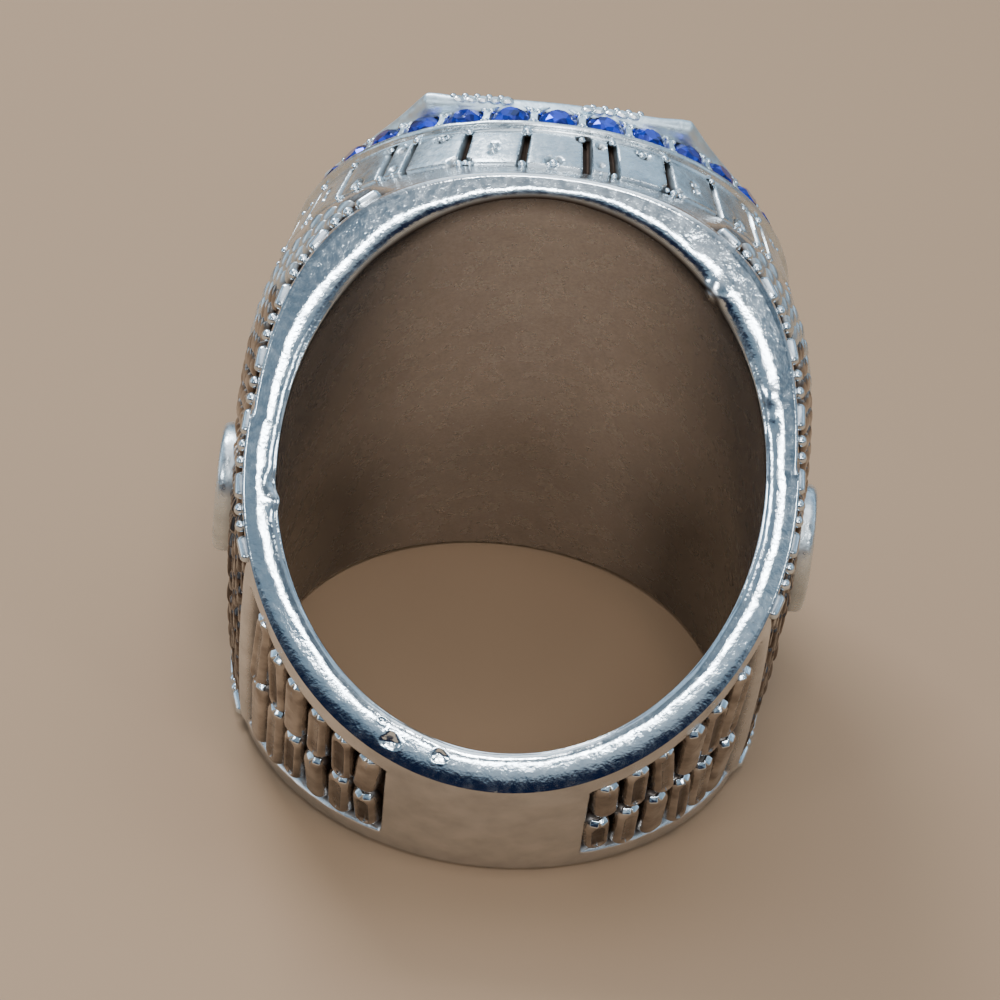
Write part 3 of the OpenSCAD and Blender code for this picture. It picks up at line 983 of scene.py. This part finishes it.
for i in range(NB):
    g = cuts[i]
    if i % 4 != 1:
        bead(heap, on_wall(g + 0.05 / WALL_LEN * RNG.uniform(-1, 1), 14.98, 0.04), 0.20 * (1 + 0.25 * RNG.uniform(-1, 1)))
    if i % 3 != 1:
        bead(heap, on_wall(g + 0.08 / WALL_LEN * RNG.uniform(-1, 1), 12.72, 0.03), 0.18 * (1 + 0.25 * RNG.uniform(-1, 1)))
    f1 = cuts[(i + 1) % NB] + (1 if i == NB - 1 else 0)
    c, half = (g + f1) / 2, (f1 - g) * WALL_LEN / 2
    spots = {0: [(0.05, -0.84, .15), (-0.14, -0.98, .11), (0.22, -1.0, .12), (-half + 0.2, 1.0, .12)],
             1: [(0.0, -0.30, .11), (0.02, 0.12, .11), (half - 0.22, -0.98, .13), (half - 0.42, -1.06, .11)],
             2: [(-0.1, 0.86, .15), (0.12, 0.98, .11), (-0.30, 1.0, .10), (-half + 0.2, -0.98, .12)],
             3: [(0.0, 1.04, .12), (0.0, -1.04, .11)]}[int(KIND[i])]
    for du, dv, r in spots:
        bead(heap, on_wall(c + du / WALL_LEN, 13.85 + dv, 0.10), 1.25 * r * (1 + 0.2 * RNG.uniform(-1, 1)))
heap.done("wall_beads", CHROME, "ring_metal")

# band of blue stones: pockets pressed into a sloping band
per = 30
FS = (np.arange(STONES * per) + 0.0) / (STONES * per)
TS = t_at(FS)
OS = out_dir(TS)
stone_t = t_at(np.arange(STONES) / STONES)
stone_p = oval(ROW_X, ROW_Z, 2.15, stone_t)
stone_d = out_dir(stone_t)
stone_c = np.column_stack([stone_p[:, 0], np.full(STONES, ROW_Y), stone_p[:, 1]])
stone_n = np.column_stack([stone_d[:, 0] * math.cos(ROW_TILT), np.full(STONES, math.sin(ROW_TILT)),
                           stone_d[:, 1] * math.cos(ROW_TILT)])
rowsS, pocket_darkening = [], []
near = np.round(FS * STONES).astype(int) % STONES
for y in np.concatenate([[15.45, 15.52], np.linspace(15.58, 16.95, 26)]):
    k = (y - 15.65) / 1.25
    P = oval(10.95 - 0.45 * k, 13.2 - 0.65 * k, 2.15, TS)
    Q = np.column_stack([P[:, 0], np.full(len(TS), y), P[:, 1]])
    d = Q - stone_c[near]
    along = (d * stone_n[near]).sum(1)
    rad = np.sqrt(np.maximum((d * d).sum(1) - along ** 2, 0))
    pocket = 1 - smooth(STONE_R + 0.0, STONE_R + 0.07, rad)
    raised = 0.05 * smooth(STONE_R + 0.02, STONE_R + 0.10, rad) * (1 - smooth(STONE_R + 0.12, STONE_R + 0.35, rad))
    Q = Q - stone_n[near] * (pocket * 0.42)[:, None] + stone_n[near] * raised[:, None]
    rowsS.append(Q)
    # painted shade in the pockets under the stones
    pocket_darkening.append(pocket * 0.9)
make("stone_band", np.array(rowsS), [grid_faces(len(rowsS), len(TS), flip=True)], CROWN_M, "ring_metal",
     darkening=np.array(pocket_darkening), smooth_angle=55)


# brilliant cut
def brilliant(r, table=0.55, crown=0.34, belt=0.05, back=0.78, sides=8):
    """Round brilliant, looking along +Z, girdle top at 0."""
    k = np.arange(sides)
    step = 2 * np.pi / sides
    V = []
    tb = [(table * r * math.cos(i * step), table * r * math.sin(i * step), crown * r) for i in k]
    st = [(0.78 * r * math.cos((i + .5) * step), 0.78 * r * math.sin((i + .5) * step), 0.56 * crown * r) for i in k]
    g = [(r * math.cos(i * step / 2), r * math.sin(i * step / 2), 0) for i in range(2 * sides)]
    g2 = [(x, y, -belt * r) for x, y, z in g]
    lo = [(0.42 * r * math.cos(i * step), 0.42 * r * math.sin(i * step), -(belt + back * 0.60) * r) for i in k]
    V = np.array(tb + st + g + g2 + lo + [(0, 0, -(belt + back) * r)])
    T, S, G, H, L, C = 0, sides, 2 * sides, 4 * sides, 6 * sides, 7 * sides
    F3, F4, F8 = [], [], [[T + i for i in k]]
    for i in k:
        j = (i + 1) % sides
        F3.append((T + i, S + i, T + j))
        F4.append((T + i, S + (i - 1) % sides, G + 2 * i, S + i))
        F3.append((S + i, G + 2 * i, G + 2 * i + 1))
        F3.append((S + i, G + 2 * i + 1, G + (2 * i + 2) % (2 * sides)))
        F3.append((H + 2 * i, L + i, H + 2 * i + 1))
        F3.append((H + 2 * i + 1, L + j, H + (2 * i + 2) % (2 * sides)))
        F4.append((H + 2 * i + 1, L + i, C, L + j))
    for i in range(2 * sides):
        j = (i + 1) % (2 * sides)
        F4.append((G + i, H + i, H + j, G + j))
    F3 = [f for f in F3]
    return V, [np.array(F3), np.array(F4), np.array(F8)]


BV, BF = brilliant(STONE_R, table=0.50, crown=0.42)
for i in range(STONES):
    n = stone_n[i]
    r_, u_, n_ = axes_from(n, (0, 1, 0))
    turn = RNG.uniform(0, 2 * math.pi)
    V = BV.copy()
    c, s = math.cos(turn), math.sin(turn)
    V = np.column_stack([V[:, 0] * c - V[:, 1] * s, V[:, 0] * s + V[:, 1] * c, V[:, 2]])
    W = stone_c[i] + V[:, :1] * r_ + V[:, 1:2] * u_ + V[:, 2:] * n_
    make("blue_gem_%02d" % (i + 1), W, BF, BLUE, "blue_stone", replaces=("blue_stone_%02d" % (i + 1),), flat=True)

# beads that hold the blue stones
heap = Heap()
for i in range(STONES):
    tt = np.float64(t_at((i + 0.5) / STONES))
    tan = np.array([-out_dir(tt)[1], out_dir(tt)[0]])
    for y, sh, r in ((16.58, -0.17, 0.14), (16.66, 0.15, 0.15), (15.86, 0.0, 0.14)):
        k = (y - 15.65) / 1.25
        p = oval(10.95 - 0.45 * k, 13.2 - 0.65 * k, 2.15, tt) - out_dir(tt) * 0.01 + tan * sh
        bead(heap, (p[0], y, p[1]), r * (1 + 0.2 * RNG.uniform(-1, 1)), fine=True)
heap.done("stone_band_beads", CHROME, "ring_metal")

# ------------------------------------------------------------------ crown: eight sloping sides, raised corners, paved plate
CX, CZ, BOW, CUT, NX, NZ = 10.1, 12.5, 0.0165, 11.08, 0.8645, 0.5023


def crown_reach(t, inset):
    c, s = np.abs(np.cos(t)), np.abs(np.sin(t))
    x = (CZ - inset) / np.maximum(s, 0.3) * c
    end = np.where(s > 0.7, (CZ - inset - BOW * x * x) / np.maximum(s, 0.3), 99)
    return np.minimum(np.minimum((CX - inset) / np.maximum(c, 1e-3), end), (CUT - inset) / (NX * c + NZ * s))


def oval_reach(a, b, n, t):
    return ((np.abs(np.cos(t)) / a) ** n + (np.abs(np.sin(t)) / b) ** n) ** (-1 / n)


NCC = 960
TC = np.arange(NCC) / NCC * 2 * np.pi
corner = [math.atan2(11.93, 5.89), math.pi - math.atan2(11.93, 5.89)]
corner += [-c for c in corner]
near_corner = sum(np.exp(-((((TC - c + np.pi) % (2 * np.pi)) - np.pi) / 0.085) ** 2) for c in corner)
prof = [(16.72, -0.12, 0.9, 0), (16.84, -0.05, 0.75, 0), (16.93, -0.01, 0.5, 0), (17.0, 0.0, 0.34, 0.1), (17.08, 0.01, 0.2, 0.25),
        (17.17, 0.03, 0.1, 0.45), (17.25, 0.06, 0.04, 0.65), (17.32, 0.11, 0, 0.8), (17.38, 0.18, 0, 0.92), (17.42, 0.27, 0, 1.0),
        (17.445, 0.38, 0, 1.0), (17.45, 0.50, 0, 1.0), (17.44, 0.64, 0, 0.95), (17.40, 0.78, 0, 0.8), (17.34, 0.90, 0, 0.55),
        (17.26, 0.98, 0, 0.3), (17.21, 1.03, 0, 0.1), (17.19, 1.10, 0, 0.0)]
rowsC, crown_darkening = [], []
for y, inset, share, lift_ in prof:
    r = crown_reach(TC, inset) * (1 - share) + oval_reach(10.5, 12.55, 2.15, TC) * share
    r = r - 0.03 * near_corner * lift_
    yy = y + 0.25 * near_corner * lift_ + 0.02 * value_noise(np.stack([np.cos(TC) * 9, np.sin(TC) * 9, 0 * TC + y], -1), 31)
    rowsC.append(np.stack([r * np.cos(TC), yy, r * np.sin(TC)], -1))
    # painted shade: darker on the low rows beside the stones and on the inner rows
    crown_darkening.append(np.full(NCC, 0.6 if y < 16.8 or inset >= 1.02 else 0.0))
# plate from the crown to the collar
last = crown_reach(TC, 1.10)
for f in np.linspace(0, 1, 24)[1:]:
    r = last * (1 - f) + (COLLAR_R + 0.02) * f
    y = 17.19 + (PLATE_Y - 17.19) * f + 0.12 * math.sin(math.pi * f)
    rowsC.append(np.stack([r * np.cos(TC), np.full(NCC, y), r * np.sin(TC)], -1))
    # painted shade on the plate between the paved stones and beads
    crown_darkening.append(np.full(NCC, 0.75))
make("crown", np.array(rowsC), [grid_faces(len(rowsC), NCC, flip=True)], CROWN_M, "ring_metal", darkening=np.array(crown_darkening),
     smooth_angle=40)

# paved clear stones with their beads
PV, PF = brilliant(1.0, table=0.56, crown=0.30, back=0.5)
pave, pbeads, cups = Heap(), Heap(), Heap()
RINGS = 5
dense = np.linspace(0, 2 * np.pi, 3601)
for j in range(RINGS):
    f = (j + 0.5) / RINGS
    f = 0.06 + 0.90 * f

    def at(t, f=f):
        r = crown_reach(t, 1.10) * (1 - f) + (COLLAR_R + 0.02) * f
        y = 17.19 + (PLATE_Y - 17.19) * f + 0.12 * np.sin(np.pi * f)
        return np.stack([r * np.cos(t), y + 0 * t, r * np.sin(t)], -1)
    pts = at(dense)
    ln = np.concatenate([[0], np.cumsum(np.linalg.norm(np.diff(pts, axis=0), axis=1))])
    m = int(round(ln[-1] / 1.22))
    for i in range(m):
        t = np.float64(np.interp((i + 0.5 * (j % 2)) / m * ln[-1], ln, dense))
        p = at(t)
        e = 1e-3
        inn = at(t, f + e) - p
        tan = at(t + e) - p
        n = np.cross(inn, tan)
        n /= np.linalg.norm(n)
        if n[1] < 0:
            n = -n
        r_, u_, n_ = axes_from(n, tan)
        rr = 0.52
        turn = RNG.uniform(0, 6.28)
        c, s = math.cos(turn), math.sin(turn)
        V = np.column_stack([PV[:, 0] * c - PV[:, 1] * s, PV[:, 0] * s + PV[:, 1] * c, PV[:, 2]]) * rr
        pave.add(p + n * 0.10 + V[:, :1] * r_ + V[:, 1:2] * u_ + V[:, 2:] * n_, PF)
        t2 = np.float64(np.interp((i + 0.5 * (j % 2) + 0.5) / m * ln[-1], ln, dense))
        for ff in (f - 0.052, f + 0.052):
            q = at(t2, ff)
            bead(pbeads, q + n * 0.14, 0.15)
pave.done("paved_stones", CLEAR, "clear_stone", flat=True)
pbeads.done("paved_beads", CHROME, "ring_metal")

# small stones and beads on the crown's sloping sides by the four corners
heap, gems = Heap(), Heap()
for sx in (-1, 1):
    for sz in (-1, 1):
        first = 2.3 if sx * sz < 0 else 1.2
        for i in range(5):
            x = first + 0.52 * i
            z = CZ - BOW * x * x
            for row, (y, out, r) in enumerate(((17.18, 0.0, 0.30), (17.40, -0.30, 0.19))):
                p = np.array([sx * (x + 0.26 * row), y + 0.02 * RNG.uniform(-1, 1), sz * (z + out)])
                if row == 0:
                    r_, u_, n_ = axes_from((0.25 * RNG.uniform(-1, 1), 0.6, sz), (0, 1, 0))
                    q = r * (1 + 0.15 * RNG.uniform(-1, 1))
                    gems.add(p + PV[:, :1] * q * r_ + PV[:, 1:2] * q * u_ + PV[:, 2:] * q * n_, PF)
                else:
                    bead(heap, p, r, fine=True)
heap.done("crown_beads", CHROME, "ring_metal")
gems.done("crown_gems", BRIGHT, "clear_stone", flat=True)

# collar with a beaded foot, and the centre stone
NCR = 192
TR = np.arange(NCR) / NCR * 2 * np.pi
prof = [(COLLAR_R, PLATE_Y - 0.3), (COLLAR_R, PLATE_Y + 0.35), (COLLAR_R - 0.03, COLLAR_Y - 0.22), (COLLAR_R - 0.10, COLLAR_Y - 0.08),
        (COLLAR_R - 0.22, COLLAR_Y - 0.01), (COLLAR_R - 0.40, COLLAR_Y), (COLLAR_R - 0.58, COLLAR_Y - 0.02),
        (COLLAR_R - 0.72, COLLAR_Y - 0.10), (CENTRE_R + 0.04, COLLAR_Y - 0.25), (CENTRE_R + 0.03, COLLAR_Y - 0.6),
        (CENTRE_R + 0.03, COLLAR_Y - 1.45), (2.95, COLLAR_Y - 1.5), (2.88, COLLAR_Y - 2.6), (2.6, COLLAR_Y - 4.2), (0.02, COLLAR_Y - 4.4)]
rows = np.array([np.stack([r * np.cos(TR), np.full(NCR, y), r * np.sin(TR)], -1) for r, y in prof])
make("collar", rows, [grid_faces(len(prof), NCR, flip=True)], CHROME, "ring_metal", smooth_angle=50)
heap = Heap()
for i in range(72):
    t = 2 * math.pi * i / 72
    bead(heap, ((COLLAR_R + 0.10) * math.cos(t), PLATE_Y + 0.06, (COLLAR_R + 0.10) * math.sin(t)), 0.19, fine=True)
for i in range(8):
    t = 2 * math.pi * (i + 0.5) / 8
    r_, u_, n_ = axes_from((0, 1, 0), (math.cos(t), 0, math.sin(t)))
    p = np.array([(CENTRE_R + 0.28) * math.cos(t), COLLAR_Y - 0.10, (CENTRE_R + 0.28) * math.sin(t)])
    button(heap, p, r_, u_, n_, rounded_rect(0.34, 0.62, 0.3, 28),
           [(0, -0.3), (0, 0.16), (0.05, 0.27), (0.13, 0.33), (0.22, 0.35)])
heap.done("collar_beads", CHROME, "ring_metal")
CV, CF = brilliant(CENTRE_R, table=0.56, crown=0.30, back=0.70)
W = np.array([0, COLLAR_Y - 0.35, 0]) + np.column_stack([CV[:, 0], CV[:, 2], -CV[:, 1]])
make("centre_gem", W, CF, CENTRE_M, "clear_stone", replaces=("centre_stone",), flat=True)

# ------------------------------------------------------------------ floor, light and camera
fl = bpy.data.meshes.new("floor")
fl.from_pydata([(-3, -3, 0), (3, -3, 0), (3, 3, 0), (-3, 3, 0)], [], [(0, 1, 2, 3)])
floor = bpy.data.objects.new("floor", fl)
bpy.context.scene.collection.objects.link(floor)
m, nt, b = nodes_of("floor_paper")
b.inputs["Base Color"].default_value = (0.33, 0.215, 0.13, 1)
b.inputs["Roughness"].default_value = 0.75
fl.materials.append(m)

w = bpy.data.worlds.new("studio")
bpy.context.scene.world = w
w.use_nodes = True
nt = w.node_tree
bg = nt.nodes["Background"]
tc = nt.nodes.new("ShaderNodeTexCoord")
sep = nt.nodes.new("ShaderNodeSeparateXYZ")
nt.links.new(tc.outputs["Generated"], sep.inputs[0])
sky = ramp(nt, sep.outputs["Z"], [(0.0, (0.16, 0.18, 0.20)), (0.20, (0.26, 0.31, 0.36)), (0.34, (0.34, 0.50, 0.64)),
                                  (0.46, (0.55, 0.76, 0.92)), (0.54, (0.27, 0.42, 0.56)), (0.66, (0.22, 0.30, 0.38)),
                                  (0.82, (0.34, 0.42, 0.50)), (0.93, (1.0, 1.0, 1.0))])


def ease(src, lo, hi, a, b):
    n = nt.nodes.new("ShaderNodeMapRange")
    n.interpolation_type = "SMOOTHSTEP"
    n.inputs["From Min"].default_value = lo
    n.inputs["From Max"].default_value = hi
    n.inputs["To Min"].default_value = a
    n.inputs["To Max"].default_value = b
    nt.links.new(src, n.inputs["Value"])
    return n.outputs["Result"]


def math_of(op, a, b=None):
    n = nt.nodes.new("ShaderNodeMath")
    n.operation = op
    for i, v in enumerate((a, b)):
        if v is None:
            continue
        if isinstance(v, (int, float)):
            n.inputs[i].default_value = v
        else:
            nt.links.new(v, n.inputs[i])
    return n.outputs[0]


# a dark corner of the room low in front, bright openings low at both sides and a bright ceiling
patches = noise(nt, tc.outputs["Generated"], 2.6, 2.0, 0.5)
sky = mix_col(nt, 0.45, sky, ramp(nt, patches, [(0.36, (0.02, 0.03, 0.05)), (0.47, (0.25, 0.32, 0.40)), (0.56, (0.66, 0.84, 1.0)),
                                                (0.66, (1.0, 1.0, 1.0))]))
dark = math_of("MULTIPLY", ease(sep.outputs["Y"], -0.92, -0.74, 1.0, 0.0), ease(sep.outputs["Z"], 0.26, 0.37, 1.0, 0.0))
col = mix_col(nt, dark, sky, (0.010, 0.018, 0.055))
low = ease(sep.outputs["Z"], 0.20, 0.36, 1.0, 0.0)
left_open = math_of("MULTIPLY", ease(sep.outputs["X"], -0.97, -0.84, 1.0, 0.0), low)
right_open = math_of("MULTIPLY", ease(sep.outputs["X"], 0.86, 0.97, 0.0, 1.0), low)
side_open = math_of("ADD", math_of("MULTIPLY", left_open, 1.8), math_of("MULTIPLY", right_open, 0.5))
behind = math_of("MULTIPLY", ease(sep.outputs["Y"], -0.42, 0.05, 0.0, 1.0), ease(sep.outputs["Z"], 0.15, 0.45, 0.0, 1.2))
gain = math_of("ADD", side_open, math_of("ADD", ease(sep.outputs["Z"], 0.88, 0.98, 0.0, 1.2), 0.56))
gain = math_of("ADD", gain, behind)
nt.links.new(col, bg.inputs["Color"])
nt.links.new(gain, bg.inputs["Strength"])


def area(name, loc, target, size, power, color=(1, 1, 1)):
    L = bpy.data.lights.new(name, "AREA")
    L.shape = "RECTANGLE"
    L.size, L.size_y = size
    L.energy = power
    L.color = color
    o = bpy.data.objects.new(name, L)
    o.location = loc
    d = Vector(target) - Vector(loc)
    o.rotation_euler = d.to_track_quat("-Z", "Y").to_euler()
    bpy.context.scene.collection.objects.link(o)
    return o


area("key", (-0.10, 0.14, 0.22), (0, 0, 0.01), (0.10, 0.07), 0.50, (0.95, 0.98, 1.0))
area("left_window", (-0.160, -0.220, 0.150), (0, 0, 0.015), (0.030, 0.060), 0.10, (0.92, 0.97, 1.0))
area("right_window", (0.160, -0.220, 0.150), (0, 0, 0.015), (0.030, 0.060), 0.10, (0.97, 1.0, 1.0))
area("front_lamp", (0.016, -0.262, 0.192), (0, 0, 0.010), (0.080, 0.030), 0.18, (0.96, 0.99, 1.0))
area("ceiling", (0.01, -0.15, 0.26), (0, 0, 0.0), (0.07, 0.05), 0.32, (1.0, 0.98, 0.95))

# camera, from the fit of the finger hole and the head in a 1000 x 1000 frame
ROT = (2.6503, 0.1394, 0.048)
TRA = (0.3098, 3.7461, 220.37)
FOCAL = 5000.0
ang = math.sqrt(sum(c * c for c in ROT))
Rc = np.array(Matrix.Rotation(ang, 3, Vector(ROT).normalized()))
cam_pos = -Rc.T @ np.array(TRA)
c, s = math.cos(TAPER), math.sin(TAPER)
Rl = np.array([[1, 0, 0], [0, c, -s], [0, s, c]])
wc = Rl @ Rc.T
cam = bpy.data.cameras.new("camera")
cam.sensor_fit = "HORIZONTAL"
cam.sensor_width = 36.0
cam.lens = FOCAL / 1000 * 36.0
cam.clip_start, cam.clip_end = 0.01, 20
camera = bpy.data.objects.new("camera", cam)
M = Matrix.Identity(4)
for i in range(3):
    M[i][0], M[i][1], M[i][2] = float(wc[i, 0]), float(-wc[i, 1]), float(-wc[i, 2])
p = world(cam_pos)
M.translation = Vector([float(v) for v in p])
camera.matrix_world = M
bpy.context.scene.collection.objects.link(camera)
bpy.context.scene.camera = camera

bpy.context.view_layer.update()
